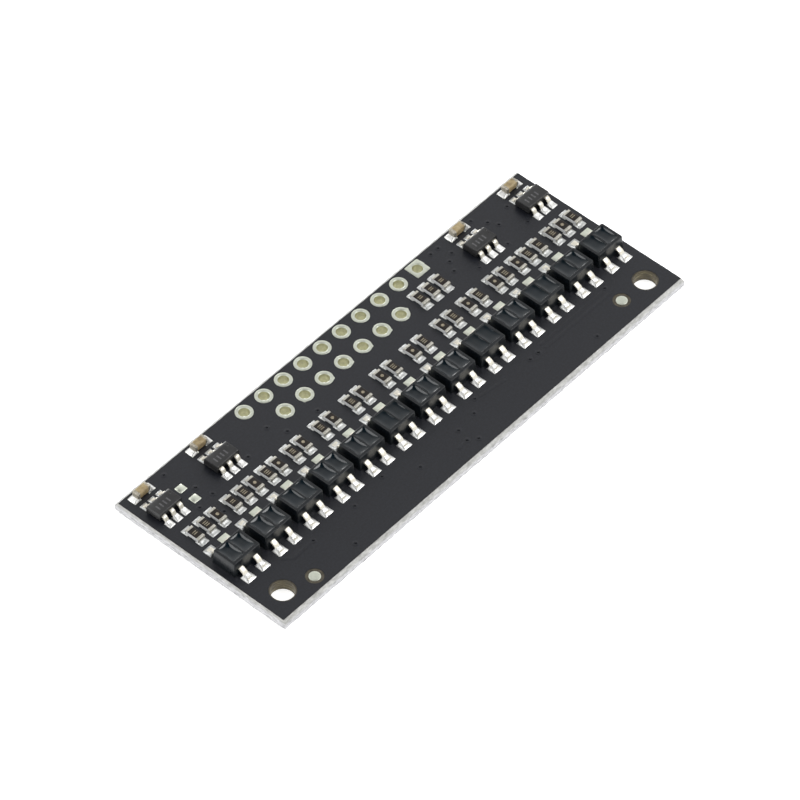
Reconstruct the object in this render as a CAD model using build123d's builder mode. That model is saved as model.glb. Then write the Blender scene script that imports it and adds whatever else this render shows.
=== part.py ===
"""Line-sensor array board: thirteen reflectance sensors on a narrow circuit board.

Millimetres, +Z up on the component side. The origin is the centre of the board's underside, +X runs
along the row of sensors towards the square header pad, and +Y points to the header edge.
"""

from build123d import *
import os

# ---- board ----
BOARD_LENGTH = 53.0
BOARD_WIDTH = 20.0
BOARD_THICKNESS = 1.2
FACE_LENGTH = 52.7
FACE_WIDTH = 19.25
WEB_LOW = 0.35
WEB_HIGH = 0.85
SKIN = 0.04
TOP = BOARD_THICKNESS

# ---- mounting holes ----
MOUNT_HOLE_RADIUS = 1.1
MOUNT_HOLE_MARGIN = 0.12
MOUNT_SPACING = 48.0
MOUNT_Y = -7.4

# ---- header holes ----
PITCH = 2.54
HEADER_HOLE_RADIUS = 0.5
HEADER_WALL = 0.05
HEADER_PAD_RADIUS = 0.84
HEADER_SQUARE_PAD = 1.7
HEADER_FIRST_X = 11.43
HEADER_ROW_1_Y = 8.6
HEADER_ROW_1_COUNT = 10
HEADER_ROW_2_SKIP = 2
HEADER_ROW_2_COUNT = 7

# ---- fiducials ----
FIDUCIAL_PLACES = [(-21.0, -8.35), (20.75, -7.4)]
FIDUCIAL_RADIUS = 0.54
FIDUCIAL_CLEAR_RADIUS = 0.84

# ---- sensors ----
SENSOR_COUNT = 13
SENSOR_PITCH = 4.0
SENSOR_Y = -2.1
SENSOR_HEIGHT = 1.5
SENSOR_BASE = (3.4, 2.7)
SENSOR_CROWN = (3.26, 2.42)
SENSOR_CORNER = 0.12
SENSOR_EDGE = 0.05
WINDOW_SIZE = (1.28, 1.9)
WINDOW_OFFSET = 0.72
WINDOW_CORNER = 0.1
WINDOW_FLOOR = 0.55
EPOXY_TOP = 1.44
EPOXY_DISH = 0.22
EMITTER_DIE = (0.3, 0.3, 0.16)
DETECTOR_DIE = (0.5, 0.5, 0.2)
SENSOR_LEAD_X = 0.9
SENSOR_LEAD_WIDTH = 0.5
SENSOR_LEAD_THICKNESS = 0.15
SENSOR_LEAD_ROOT = 1.0
SENSOR_LEAD_SHOULDER = (1.27, 0.62)
SENSOR_LEAD_KNEE = (1.75, 0.38)
SENSOR_LEAD_TOE = 1.93
SENSOR_LEAD_END = 2.42
SENSOR_LAND = (1.05, 0.95)
SENSOR_LAND_Y = 2.175

# ---- driver chips ----
CHIP_PLACES = [(-24.1, 6.15), (-16.85, 6.15), (17.25, 6.15), (24.45, 6.15)]
CHIP_OFF_CENTRE = 0.12  # every chip sits this far towards +Y on its lands
CHIP_BASE = (2.9, 1.62)
CHIP_CROWN = (2.66, 1.56)
CHIP_STANDOFF = 0.06
CHIP_HEIGHT = 0.92
CHIP_WAIST = 0.45
CHIP_BEVEL = 0.22
CHIP_LEAD_PITCH = 0.95
CHIP_LEAD_WIDTH = 0.4
CHIP_LEAD_THICKNESS = 0.15
CHIP_LEAD_ROOT = 0.6
CHIP_LEAD_SHOULDER = (0.98, 0.5)
CHIP_LEAD_TOE = 1.2
CHIP_LEAD_END = 1.45
CHIP_LAND = (0.7, 0.75)
CHIP_LAND_Y = 1.425

# ---- chip capacitors, lying along X ----
CAPACITOR_SHIFT = (-0.1, 2.72)
CAPACITOR_SIZE = (1.6, 0.8, 0.76)
CAPACITOR_BAND = 0.34
CAPACITOR_LAND = (0.85, 0.95)
CAPACITOR_LAND_X = 0.875
SPARE_LAND = (0.85, 0.8)
SPARE_LAND_PLACES = [(-21.5, 6.75), (-21.5, 5.1)]

# ---- chip resistors, lying along Y ----
RESISTOR_ROW_Y = 2.2
RESISTOR_ROW_X = [
    -24.6, -23.2, -21.78, -19.83, -18.42, -17.03, -15.43, -14.02, -12.2, -10.8,
    -8.53, -7.04, -4.52, -3.05, -0.48, 0.97, 3.49, 5.02, 7.53, 8.99,
    10.99, 12.47, 14.6, 15.96, 17.66, 19.13, 20.61, 22.46, 23.85, 25.27,
]
RESISTOR_TRIO_Y = 5.85
RESISTOR_TRIO_X = [8.7, 10.1, 11.47]
RESISTOR_SIZE = (0.8, 1.6, 0.45)
RESISTOR_BAND = 0.3
RESISTOR_GLAZE_THICKNESS = 0.03
RESISTOR_LAND = (0.95, 0.8)
RESISTOR_LAND_Y = 0.85
RESISTOR_LAND_EDGE = 1.22

# ---- plating on the ends of chip parts ----
PLATING = 0.03

# ---- solder: end fillets as (rise, width, bulge), mounds as (width, depth, height) ----
FILLET_TOE = 0.06
FULL_FILLET = (0.34, 0.9, 0.06)
LEAN_FILLET = (0.24, 0.86, -0.05)
CAPACITOR_FILLET = (0.45, 0.88, -0.04)
CAPACITOR_FILLET_GAP = 0.02
SENSOR_MOUND = (0.99, 0.88, 0.22)
CHIP_MOUND = (0.62, 0.7, 0.2)
MOUND_TAPER = 40

SENSOR_X = [SENSOR_PITCH * (i - (SENSOR_COUNT - 1) / 2) for i in range(SENSOR_COUNT)]
RESISTOR_PLACES = [(x, RESISTOR_ROW_Y) for x in RESISTOR_ROW_X]
RESISTOR_PLACES += [(x, RESISTOR_TRIO_Y) for x in RESISTOR_TRIO_X]
CAPACITOR_PLACES = [(x + CAPACITOR_SHIFT[0], y + CAPACITOR_SHIFT[1]) for x, y in CHIP_PLACES]
MOUNT_PLACES = [(-MOUNT_SPACING / 2, MOUNT_Y), (MOUNT_SPACING / 2, MOUNT_Y)]


def header_places():
    """Centres of the header holes; the first one has the square pad."""
    row_1 = [(HEADER_FIRST_X - PITCH * i, HEADER_ROW_1_Y) for i in range(HEADER_ROW_1_COUNT)]
    row_2_y = HEADER_ROW_1_Y - PITCH
    row_2_columns = range(HEADER_ROW_2_SKIP, HEADER_ROW_2_SKIP + HEADER_ROW_2_COUNT)
    row_2 = [(HEADER_FIRST_X - PITCH * i, row_2_y) for i in row_2_columns]
    return row_1 + row_2


def around(places, offsets):
    """Every offset taken from every place."""
    return [(x + dx, y + dy) for x, y in places for dx, dy in offsets]


HEADER_PLACES = header_places()
SENSOR_PLACES = [(x, SENSOR_Y) for x in SENSOR_X]
SENSOR_LAND_OFFSETS = [(sx * SENSOR_LEAD_X, sy * SENSOR_LAND_Y) for sx in (-1, 1) for sy in (-1, 1)]
CHIP_CENTRES = [(x, y + CHIP_OFF_CENTRE) for x, y in CHIP_PLACES]
CHIP_LEAD_X = [-CHIP_LEAD_PITCH, 0.0, CHIP_LEAD_PITCH]
CHIP_LAND_OFFSETS = [(x, sy * CHIP_LAND_Y) for x in CHIP_LEAD_X for sy in (-1, 1)]
CAPACITOR_LAND_OFFSETS = [(-CAPACITOR_LAND_X, 0), (CAPACITOR_LAND_X, 0)]
RESISTOR_LAND_OFFSETS = [(0, -RESISTOR_LAND_Y), (0, RESISTOR_LAND_Y)]


def write(builder, name):
    """Label a finished piece and write it as its own STEP file."""
    builder.part.label = name
    export_step(builder.part, f"parts/{name}.step")


# ---- the bare board ----

def make_laminate():
    """Core with V-scored edges: both faces stand back from the snapped web in the middle."""
    with BuildPart() as laminate:
        with BuildSketch(Plane.XY.offset(SKIN)):
            Rectangle(FACE_LENGTH, FACE_WIDTH)
        with BuildSketch(Plane.XY.offset(WEB_LOW)):
            Rectangle(BOARD_LENGTH, BOARD_WIDTH)
        loft()
        with BuildSketch(Plane.XY.offset(WEB_LOW)):
            Rectangle(BOARD_LENGTH, BOARD_WIDTH)
        extrude(amount=WEB_HIGH - WEB_LOW)
        with BuildSketch(Plane.XY.offset(WEB_HIGH)):
            Rectangle(BOARD_LENGTH, BOARD_WIDTH)
        with BuildSketch(Plane.XY.offset(TOP - SKIN)):
            Rectangle(FACE_LENGTH, FACE_WIDTH)
        loft()
        with Locations(*[(x, y, TOP) for x, y in MOUNT_PLACES]):
            Hole(MOUNT_HOLE_RADIUS)
        with Locations(*[(x, y, TOP) for x, y in HEADER_PLACES]):
            Hole(HEADER_HOLE_RADIUS + HEADER_WALL)
    write(laminate, "board_laminate")


def header_pads():
    """Outline of every header pad, in the sketch that is open."""
    with Locations(HEADER_PLACES[0]):
        Rectangle(HEADER_SQUARE_PAD, HEADER_SQUARE_PAD, mode=Mode.SUBTRACT)
    with Locations(*HEADER_PLACES[1:]):
        Circle(HEADER_PAD_RADIUS, mode=Mode.SUBTRACT)


def make_mask(name, height, openings):
    """One skin of solder mask, with its openings given as (places, width, depth)."""
    with BuildPart() as mask:
        with BuildSketch(Plane.XY.offset(height)):
            Rectangle(FACE_LENGTH, FACE_WIDTH)
            header_pads()
            with Locations(*MOUNT_PLACES):
                Circle(MOUNT_HOLE_RADIUS + MOUNT_HOLE_MARGIN, mode=Mode.SUBTRACT)
            for places, width, depth in openings:
                with Locations(*places):
                    Rectangle(width, depth, mode=Mode.SUBTRACT)
            if openings:
                with Locations(*FIDUCIAL_PLACES):
                    Circle(FIDUCIAL_CLEAR_RADIUS, mode=Mode.SUBTRACT)
        extrude(amount=SKIN)
    write(mask, name)


def make_lands(name, openings):
    """Copper lands that fill the openings of the component side's mask."""
    with BuildPart() as lands:
        with BuildSketch(Plane.XY.offset(TOP - SKIN)):
            for places, width, depth in openings:
                with Locations(*places):
                    Rectangle(width, depth)
        extrude(amount=SKIN)
    write(lands, name)


def make_barrel_plating():
    """Plated barrels through the board, with a ring on each face."""
    with BuildPart() as plating:
        with BuildSketch(Plane.XY):
            with Locations(*HEADER_PLACES):
                Circle(HEADER_HOLE_RADIUS + HEADER_WALL)
        extrude(amount=TOP)
        for height in (0.0, TOP - SKIN):
            with BuildSketch(Plane.XY.offset(height)):
                with Locations(HEADER_PLACES[0]):
                    Rectangle(HEADER_SQUARE_PAD, HEADER_SQUARE_PAD)
                with Locations(*HEADER_PLACES[1:]):
                    Circle(HEADER_PAD_RADIUS)
            extrude(amount=SKIN)
        with Locations(*[(x, y, TOP) for x, y in HEADER_PLACES]):
            Hole(HEADER_HOLE_RADIUS)
    write(plating, "barrel_plating")


def make_fiducials():
    """Bare copper dots, each in its own clear ring."""
    with BuildPart() as fiducials:
        with BuildSketch(Plane.XY.offset(TOP - SKIN)):
            with Locations(*FIDUCIAL_PLACES):
                Circle(FIDUCIAL_RADIUS)
        extrude(amount=SKIN)
    write(fiducials, "fiducial_marks")


# ---- gull-wing leads, shared by sensors and chips ----

def gull_wing(root, bends, toe, end, thickness, width):
    """One lead that leaves its body towards +Y at the height of its first bend and stands on its toe."""
    low = TOP + thickness / 2
    bent = [(y, TOP + z) for y, z in bends]
    path = [(root, bent[0][1]), *bent, (toe, low), (end, low)]
    with BuildPart() as lead:
        with BuildSketch(Plane.YZ):
            with BuildLine():
                FilletPolyline(*path, radius=thickness)
            trace(line_width=thickness)
        extrude(amount=width / 2, both=True)
    return lead.part


def sensor_lead():
    """One lead of a sensor, which slopes down from the housing before it drops to its foot."""
    return gull_wing(
        SENSOR_LEAD_ROOT, [SENSOR_LEAD_SHOULDER, SENSOR_LEAD_KNEE], SENSOR_LEAD_TOE, SENSOR_LEAD_END,
        SENSOR_LEAD_THICKNESS, SENSOR_LEAD_WIDTH,
    )


def chip_lead():
    """One lead of a driver chip."""
    return gull_wing(
        CHIP_LEAD_ROOT, [CHIP_LEAD_SHOULDER], CHIP_LEAD_TOE, CHIP_LEAD_END,
        CHIP_LEAD_THICKNESS, CHIP_LEAD_WIDTH,
    )


def both_rows(lead, x_offsets, centre_y):
    """Copies of one lead on both sides of a body that stands at centre_y."""
    rows = []
    for turn, side in ((0, 1), (180, -1)):
        for x in x_offsets:
            rows.append(Pos(side * x, centre_y, 0) * Rot(0, 0, turn) * lead)
    return rows


# ---- reflectance sensors ----

def make_housing(x, leads):
    """Moulded housing with two windows, slightly narrower at its crown."""
    with BuildPart() as housing:
        with BuildSketch(Plane.XY.offset(TOP)):
            with Locations((x, SENSOR_Y)):
                RectangleRounded(*SENSOR_BASE, SENSOR_CORNER)
        with BuildSketch(Plane.XY.offset(TOP + SENSOR_HEIGHT)):
            with Locations((x, SENSOR_Y)):
                RectangleRounded(*SENSOR_CROWN, SENSOR_CORNER)
        loft()
        chamfer(housing.faces().sort_by(Axis.Z)[-1].edges(), SENSOR_EDGE)
        with BuildSketch(Plane.XY.offset(TOP + WINDOW_FLOOR)):
            with Locations((x - WINDOW_OFFSET, SENSOR_Y), (x + WINDOW_OFFSET, SENSOR_Y)):
                RectangleRounded(*WINDOW_SIZE, WINDOW_CORNER)
        extrude(amount=SENSOR_HEIGHT, mode=Mode.SUBTRACT)
        with Locations((x, 0, 0)):
            add(leads, mode=Mode.SUBTRACT)
    return housing


def make_sensor_leads(x, leads):
    """Four gull-wing leads of one sensor."""
    with BuildPart() as lead_set:
        with Locations((x, 0, 0)):
            add(leads)
    return lead_set


def make_dies(name, side, size):
    """Semiconductor dies on the floors of one window of every sensor."""
    width, depth, height = size
    with BuildPart() as dies:
        with BuildSketch(Plane.XY.offset(TOP + WINDOW_FLOOR)):
            with Locations(*[(x + side * WINDOW_OFFSET, SENSOR_Y) for x in SENSOR_X]):
                Rectangle(width, depth)
        extrude(amount=height)
    write(dies, name)
    return dies.part


def make_epoxy(name, side, dies):
    """Epoxy fillings of one window of every sensor, dished on top, cast over the dies."""
    reach = WINDOW_SIZE[1] / 2
    dish_radius = (reach**2 + EPOXY_DISH**2) / (2 * EPOXY_DISH)
    centres = [(x + side * WINDOW_OFFSET, SENSOR_Y) for x in SENSOR_X]
    with BuildPart() as epoxy:
        with BuildSketch(Plane.XY.offset(TOP + WINDOW_FLOOR)):
            with Locations(*centres):
                RectangleRounded(*WINDOW_SIZE, WINDOW_CORNER)
        extrude(amount=EPOXY_TOP - WINDOW_FLOOR)
        dish_height = TOP + EPOXY_TOP - EPOXY_DISH + dish_radius
        with Locations(*[(cx, cy, dish_height) for cx, cy in centres]):
            Sphere(dish_radius, mode=Mode.SUBTRACT)
        add(dies, mode=Mode.SUBTRACT)
    write(epoxy, name)


def make_sensors():
    """Every sensor: housing, leads, dies and window fillings."""
    leads = both_rows(sensor_lead(), [-SENSOR_LEAD_X, SENSOR_LEAD_X], SENSOR_Y)
    for number, x in enumerate(SENSOR_X, start=1):
        write(make_housing(x, leads), f"sensor_housing_{number:02d}")
        write(make_sensor_leads(x, leads), f"sensor_leads_{number:02d}")
    emitter_dies = make_dies("emitter_dies", -1, EMITTER_DIE)
    detector_dies = make_dies("detector_dies", 1, DETECTOR_DIE)
    make_epoxy("emitter_windows", -1, emitter_dies)
    make_epoxy("detector_windows", 1, detector_dies)
    return leads


# ---- driver chips ----

def make_chip(x, y, leads):
    """Moulded six-lead body, widest at its waist, with a bevel along its rear top edge."""
    with BuildPart() as chip:
        with BuildSketch(Plane.XY.offset(TOP + CHIP_WAIST)):
            with Locations((x, y)):
                Rectangle(*CHIP_BASE)
        with BuildSketch(Plane.XY.offset(TOP + CHIP_STANDOFF)):
            with Locations((x, y)):
                Rectangle(*CHIP_CROWN)
        loft()
        with BuildSketch(Plane.XY.offset(TOP + CHIP_WAIST)):
            with Locations((x, y)):
                Rectangle(*CHIP_BASE)
        with BuildSketch(Plane.XY.offset(TOP + CHIP_HEIGHT)):
            with Locations((x, y)):
                Rectangle(*CHIP_CROWN)
        loft()
        chamfer(chip.faces().sort_by(Axis.Z)[-1].edges().sort_by(Axis.Y)[-1], CHIP_BEVEL)
        with Locations((x, 0, 0)):
            add(leads, mode=Mode.SUBTRACT)
    return chip


def make_chips():
    """Every driver chip with its six leads."""
    leads = both_rows(chip_lead(), CHIP_LEAD_X, CHIP_CENTRES[0][1])
    for number, (x, y) in enumerate(CHIP_CENTRES, start=1):
        write(make_chip(x, y, leads), f"driver_chip_{number}")
        with BuildPart() as lead_set:
            with Locations((x, 0, 0)):
                add(leads)
        write(lead_set, f"driver_chip_leads_{number}")
    return leads


# ---- chip capacitors and resistors ----

def make_capacitors():
    """Ceramic blocks with a plated cap over each end."""
    length, width, height = CAPACITOR_SIZE
    core = (length - 2 * PLATING, width - 2 * PLATING, height - 2 * PLATING)
    centres = [(x, y, TOP + height / 2) for x, y in CAPACITOR_PLACES]
    with BuildPart() as ceramic:
        with Locations(*centres):
            Box(*core)
    write(ceramic, "capacitor_bodies")
    shift = (length - CAPACITOR_BAND) / 2
    with BuildPart() as terminals:
        with Locations(*[(x + s * shift, y, z) for x, y, z in centres for s in (-1, 1)]):
            Box(CAPACITOR_BAND, width, height)
        fillet(terminals.edges(), PLATING)
        add(ceramic.part, mode=Mode.SUBTRACT)
    write(terminals, "capacitor_terminals")


def make_resistors():
    """Ceramic slabs with plated ends and a dark glass overcoat between them."""
    width, length, height = RESISTOR_SIZE
    centres = [(x, y, TOP + height / 2) for x, y in RESISTOR_PLACES]
    with BuildPart() as ceramic:
        with Locations(*centres):
            Box(width, length - 2 * PLATING, height - 2 * PLATING)
    write(ceramic, "resistor_bodies")
    shift = (length - RESISTOR_BAND) / 2
    with BuildPart() as terminals:
        with Locations(*[(x, y + s * shift, z) for x, y, z in centres for s in (-1, 1)]):
            Box(width, RESISTOR_BAND, height)
        add(ceramic.part, mode=Mode.SUBTRACT)
    write(terminals, "resistor_terminals")
    glaze_length = length - 2 * RESISTOR_BAND
    with BuildPart() as glazes:
        with BuildSketch(Plane.XY.offset(TOP + height - PLATING)):
            with Locations(*RESISTOR_PLACES):
                Rectangle(width - PLATING, glaze_length)
        extrude(amount=RESISTOR_GLAZE_THICKNESS)
    write(glazes, "resistor_glazes")


# ---- solder ----

def end_fillet(reach, rise, width, bulge):
    """Solder against the end face of a chip part: it runs out along -Y from that face."""
    middle = (-reach / 2 - bulge, TOP + (rise + FILLET_TOE) / 2 + bulge)
    with BuildPart() as joint:
        with BuildSketch(Plane.YZ):
            with BuildLine():
                Polyline((-reach, TOP + FILLET_TOE), (-reach, TOP), (0, TOP), (0, TOP + rise))
                ThreePointArc((0, TOP + rise), middle, (-reach, TOP + FILLET_TOE))
            make_face()
        extrude(amount=width / 2, both=True)
    return joint.part


def make_resistor_solder():
    """A full joint at the -Y end of every resistor and a thinner one at its +Y end."""
    half = RESISTOR_SIZE[1] / 2
    reach = RESISTOR_LAND_EDGE - half
    full = Pos(0, -half, 0) * end_fillet(reach, *FULL_FILLET)
    lean = Pos(0, half, 0) * Rot(0, 0, 180) * end_fillet(reach, *LEAN_FILLET)
    with BuildPart() as solder:
        with Locations(*[(x, y, 0) for x, y in RESISTOR_PLACES]):
            add([full, lean])
    write(solder, "resistor_solder")


def make_capacitor_solder():
    """Joints at both ends of every capacitor."""
    half = CAPACITOR_SIZE[0] / 2
    reach = CAPACITOR_LAND_X + CAPACITOR_LAND[0] / 2 - half
    joint = end_fillet(reach - CAPACITOR_FILLET_GAP, *CAPACITOR_FILLET)
    joints = [Rot(0, 0, turn) * Pos(0, -half, 0) * joint for turn in (-90, 90)]
    with BuildPart() as solder:
        with Locations(*[(x, y, 0) for x, y in CAPACITOR_PLACES]):
            add(joints)
    write(solder, "capacitor_solder")


def make_lead_solder(name, places, mound, leads, centre_xs):
    """Low mounds over the feet of gull-wing leads, cut to fit the feet."""
    width, depth, height = mound
    with BuildPart() as solder:
        with BuildSketch(Plane.XY.offset(TOP)):
            with Locations(*places):
                Rectangle(width, depth)
        extrude(amount=height, taper=MOUND_TAPER)
        with Locations(*[(x, 0, 0) for x in centre_xs]):
            add(leads, mode=Mode.SUBTRACT)
    write(solder, name)


SENSOR_LAND_SET = (around(SENSOR_PLACES, SENSOR_LAND_OFFSETS), *SENSOR_LAND)
RESISTOR_LAND_SET = (around(RESISTOR_PLACES, RESISTOR_LAND_OFFSETS), *RESISTOR_LAND)
CHIP_LAND_SET = (around(CHIP_PLACES, CHIP_LAND_OFFSETS), *CHIP_LAND)
CAPACITOR_LAND_SET = (around(CAPACITOR_PLACES, CAPACITOR_LAND_OFFSETS), *CAPACITOR_LAND)
SPARE_LAND_SET = (SPARE_LAND_PLACES, *SPARE_LAND)

os.makedirs("parts", exist_ok=True)
make_laminate()
all_lands = [SENSOR_LAND_SET, RESISTOR_LAND_SET, CHIP_LAND_SET, CAPACITOR_LAND_SET, SPARE_LAND_SET]
make_mask("solder_mask_top", TOP - SKIN, all_lands)
make_mask("solder_mask_bottom", 0.0, [])
make_barrel_plating()
make_fiducials()
make_lands("sensor_lands", [SENSOR_LAND_SET])
make_lands("resistor_lands", [RESISTOR_LAND_SET])
make_lands("chip_lands", [CHIP_LAND_SET, CAPACITOR_LAND_SET])
make_lands("spare_lands", [SPARE_LAND_SET])
sensor_leads = make_sensors()
chip_leads = make_chips()
make_capacitors()
make_resistors()
make_resistor_solder()
make_capacitor_solder()
make_lead_solder("sensor_solder", SENSOR_LAND_SET[0], SENSOR_MOUND, sensor_leads, SENSOR_X)
make_lead_solder("chip_solder", CHIP_LAND_SET[0], CHIP_MOUND, chip_leads, [x for x, _ in CHIP_PLACES])
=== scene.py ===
import math
import random

import bmesh
import bpy
from mathutils import Matrix, Vector, noise
from mathutils.geometry import delaunay_2d_cdt


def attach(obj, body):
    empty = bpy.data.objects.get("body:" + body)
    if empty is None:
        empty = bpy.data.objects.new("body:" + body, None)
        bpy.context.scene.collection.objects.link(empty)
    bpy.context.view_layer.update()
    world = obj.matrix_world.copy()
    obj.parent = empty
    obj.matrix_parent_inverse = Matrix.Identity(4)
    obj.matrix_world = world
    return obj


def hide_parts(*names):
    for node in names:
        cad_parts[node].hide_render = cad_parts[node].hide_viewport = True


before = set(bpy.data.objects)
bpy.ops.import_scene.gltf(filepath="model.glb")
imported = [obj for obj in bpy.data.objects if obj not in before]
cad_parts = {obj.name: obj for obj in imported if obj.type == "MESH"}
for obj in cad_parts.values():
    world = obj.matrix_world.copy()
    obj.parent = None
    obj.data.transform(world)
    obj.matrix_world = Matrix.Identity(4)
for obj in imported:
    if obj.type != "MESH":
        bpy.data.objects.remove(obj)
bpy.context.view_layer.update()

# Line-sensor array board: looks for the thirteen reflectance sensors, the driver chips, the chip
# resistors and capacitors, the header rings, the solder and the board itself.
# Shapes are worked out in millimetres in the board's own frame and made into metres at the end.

scene = bpy.context.scene
MM = 0.001
WELD = 2e-8
TOP = 1.2
SKIN = 0.04

# ---- places, the same as the frame's ----
BOARD_HALF = (26.5, 10.0)
FACE_HALF = (26.35, 9.625)
WEB_LOW = 0.35
WEB_HIGH = 0.85
MOUNT_HOLES = [(-24.0, -7.4), (24.0, -7.4)]
MOUNT_RADIUS = 1.1
MOUNT_MARGIN = 0.12
PITCH = 2.54
HEADER_X = 11.43
HEADER_Y = 8.6
ROW_1 = [(HEADER_X - PITCH * i, HEADER_Y) for i in range(10)]
ROW_2 = [(HEADER_X - PITCH * i, HEADER_Y - PITCH) for i in range(2, 9)]
HEADER_HOLE = 0.5
HEADER_WALL = 0.05
HEADER_PAD = 0.84
SQUARE_PAD = 1.7
FIDUCIALS = [(-21.0, -8.35), (20.75, -7.4)]
FIDUCIAL_RADIUS = 0.54
FIDUCIAL_CLEAR = 0.84
SENSOR_X = [4.0 * (i - 6) for i in range(13)]
SENSOR_Y = -2.1
SENSOR_LAND = (1.05, 0.95)
SENSOR_LAND_AT = (0.9, 2.175)
CHIPS = [(-24.1, 6.15), (-16.85, 6.15), (17.25, 6.15), (24.45, 6.15)]
CHIP_OFF_CENTRE = 0.12
CHIP_LAND = (0.7, 0.75)
CHIP_LAND_Y = 1.425
CHIP_LEAD_X = (-0.95, 0.0, 0.95)
CAPACITORS = [(x - 0.1, y + 2.72) for x, y in CHIPS]
CAPACITOR_LAND = (0.85, 0.95)
CAPACITOR_LAND_X = 0.875
SPARE_LANDS = [(-21.5, 6.75), (-21.5, 5.1)]
SPARE_LAND = (0.85, 0.8)
RESISTOR_Y = 2.2
RESISTOR_X = [
    -24.6, -23.2, -21.78, -19.83, -18.42, -17.03, -15.43, -14.02, -12.2, -10.8,
    -8.53, -7.04, -4.52, -3.05, -0.48, 0.97, 3.49, 5.02, 7.53, 8.99,
    10.99, 12.47, 14.6, 15.96, 17.66, 19.13, 20.61, 22.46, 23.85, 25.27,
]
RESISTORS = [(x, RESISTOR_Y) for x in RESISTOR_X] + [(8.7, 5.85), (10.1, 5.85), (11.47, 5.85)]
RESISTOR_LAND = (0.95, 0.8)
RESISTOR_LAND_Y = 0.85

# ---- vias, tented over, and the tracks that show faintly through the mask ----
VIA_RADIUS = 0.13
VIA_PAD = 0.29
VIA_SWELL = 0.014
VIA_DIP = 0.09
VIA_PLUG = 0.095
VIAS = [
    (-21.4, 8.85), (-11.45, 5.9), (-20.6, 5.85), (-20.1, 4.3), (-22.0, 4.05), (-10.55, 4.3),
    (-7.0, 3.95), (-20.9, 2.2), (-18.2, -5.65), (-12.95, -5.7), (-8.9, -5.25), (-5.85, -7.0),
    (-16.0, -8.55), (-0.85, -8.0), (-0.5, -6.7), (0.0, -8.6), (13.5, 8.85), (14.5, 8.85),
    (18.95, 8.85), (13.4, 5.95), (19.1, 4.55), (20.35, 6.7), (22.5, 7.6), (1.9, -6.4),
    (3.2, -5.35), (9.95, -5.95), (11.05, -5.95), (20.8, -5.35), (16.0, -8.55),
    (-15.0, 4.85), (14.0, 7.0), (19.85, 7.6), (14.9, 7.55), (15.2, 4.55), (22.35, 5.0),
]
TRACK_HALF = 0.13
TRACK_SWELL = 0.012
TRACKS = [
    [(-18.35, -5.65), (-20.75, -5.75), (-21.5, -5.0)], [(12.0, -5.5), (20.4, -5.5)],
    [(12.0, -6.05), (20.3, -6.1), (21.2, -6.1), (22.1, -5.2)], [(3.2, -5.35), (4.6, -5.6), (6.6, -5.85)],
    [(-0.85, -8.0), (-2.0, -8.05)],
]


# ---- outlines and shells ----

def rounded(width, depth, radius, steps=4, sides=0):
    """Anticlockwise outline about the origin; `sides` adds points along each straight side."""
    points = []
    for quarter, (sx, sy) in enumerate(((1, 1), (-1, 1), (-1, -1), (1, -1))):
        ox = sx * (width / 2 - radius)
        oy = sy * (depth / 2 - radius)
        for k in range(steps + 1):
            angle = math.pi / 2 * (quarter + k / steps)
            points.append((ox + radius * math.cos(angle), oy + radius * math.sin(angle)))
        x, y = points[-1]
        along_x = quarter % 2 == 0
        span = (width if along_x else depth) - 2 * radius
        for k in range(1, sides + 1):
            run = span * k / (sides + 1)
            points.append((x - sx * run, y) if along_x else (x, y - sy * run))
    return points


def circle(cx, cy, radius, count=32, bulge=None):
    """Anticlockwise circle; `bulge(angle)` adds to its radius."""
    points = []
    for k in range(count):
        angle = 2 * math.pi * k / count
        r = radius + (bulge(angle) if bulge else 0.0)
        points.append((cx + r * math.cos(angle), cy + r * math.sin(angle)))
    return points


def moved(points, dx, dy):
    """The same outline, shifted."""
    return [(x + dx, y + dy) for x, y in points]


def at_z(points, z):
    """An outline as points in space."""
    return [(x, y, z) for x, y in points]


def heading(path, k):
    """Unit vector along a path at its point k."""
    ahead, behind = path[min(k + 1, len(path) - 1)], path[max(k - 1, 0)]
    return Vector((ahead[0] - behind[0], ahead[1] - behind[1])).normalized()


def grid_faces(rows, columns):
    """Faces between the points of a grid that is listed row by row."""
    starts = [r * columns + c for r in range(rows - 1) for c in range(columns - 1)]
    return [[k, k + 1, k + columns + 1, k + columns] for k in starts]


class Shell:
    """Closed surfaces in millimetres, collected before they become one object."""

    def __init__(self):
        self.points = []
        self.faces = []
        self.slots = []

    def put(self, points, faces, slot=0):
        start = len(self.points)
        self.points += [tuple(p) for p in points]
        self.faces += [[start + i for i in face] for face in faces]
        self.slots += [slot] * len(faces)

    def loft(self, rings, slot=0, bottom=True, top=True):
        """Skin between rings with the same number of points, closed at the ends that are asked for."""
        count = len(rings[0])
        points = [p for ring in rings for p in ring]
        faces = []
        for r in range(len(rings) - 1):
            for k in range(count):
                n = (k + 1) % count
                faces.append([r * count + k, r * count + n, (r + 1) * count + n, (r + 1) * count + k])
        if bottom:
            faces.append(list(range(count))[::-1])
        if top:
            last = (len(rings) - 1) * count
            faces.append([last + k for k in range(count)])
        self.put(points, faces, slot)

    def tube(self, rings, slot=0):
        """Skin between rings, open at both ends."""
        self.loft(rings, slot, bottom=False, top=False)

    def pierced(self, outer, holes, height, lines=()):
        """Triangulated face inside `outer` and outside `holes`, lying at height(x, y)."""
        points, edges, loops = [], [], []
        for loop in [outer, *holes]:
            start = len(points)
            points += [Vector(p) for p in loop]
            loops.append([start + k for k in range(len(loop))])
        for line in lines:
            start = len(points)
            points += [Vector(p) for p in line]
            edges += [(start + k, start + k + 1) for k in range(len(line) - 1)]
        found = delaunay_2d_cdt(points, edges, loops, 0, 1e-7)
        flat, triangles, owners = found[0], found[2], found[5]
        kept = [t for t, own in zip(triangles, owners) if 0 in own and len(own) == 1]
        self.put([(p.x, p.y, height(p.x, p.y)) for p in flat], kept)


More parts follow.
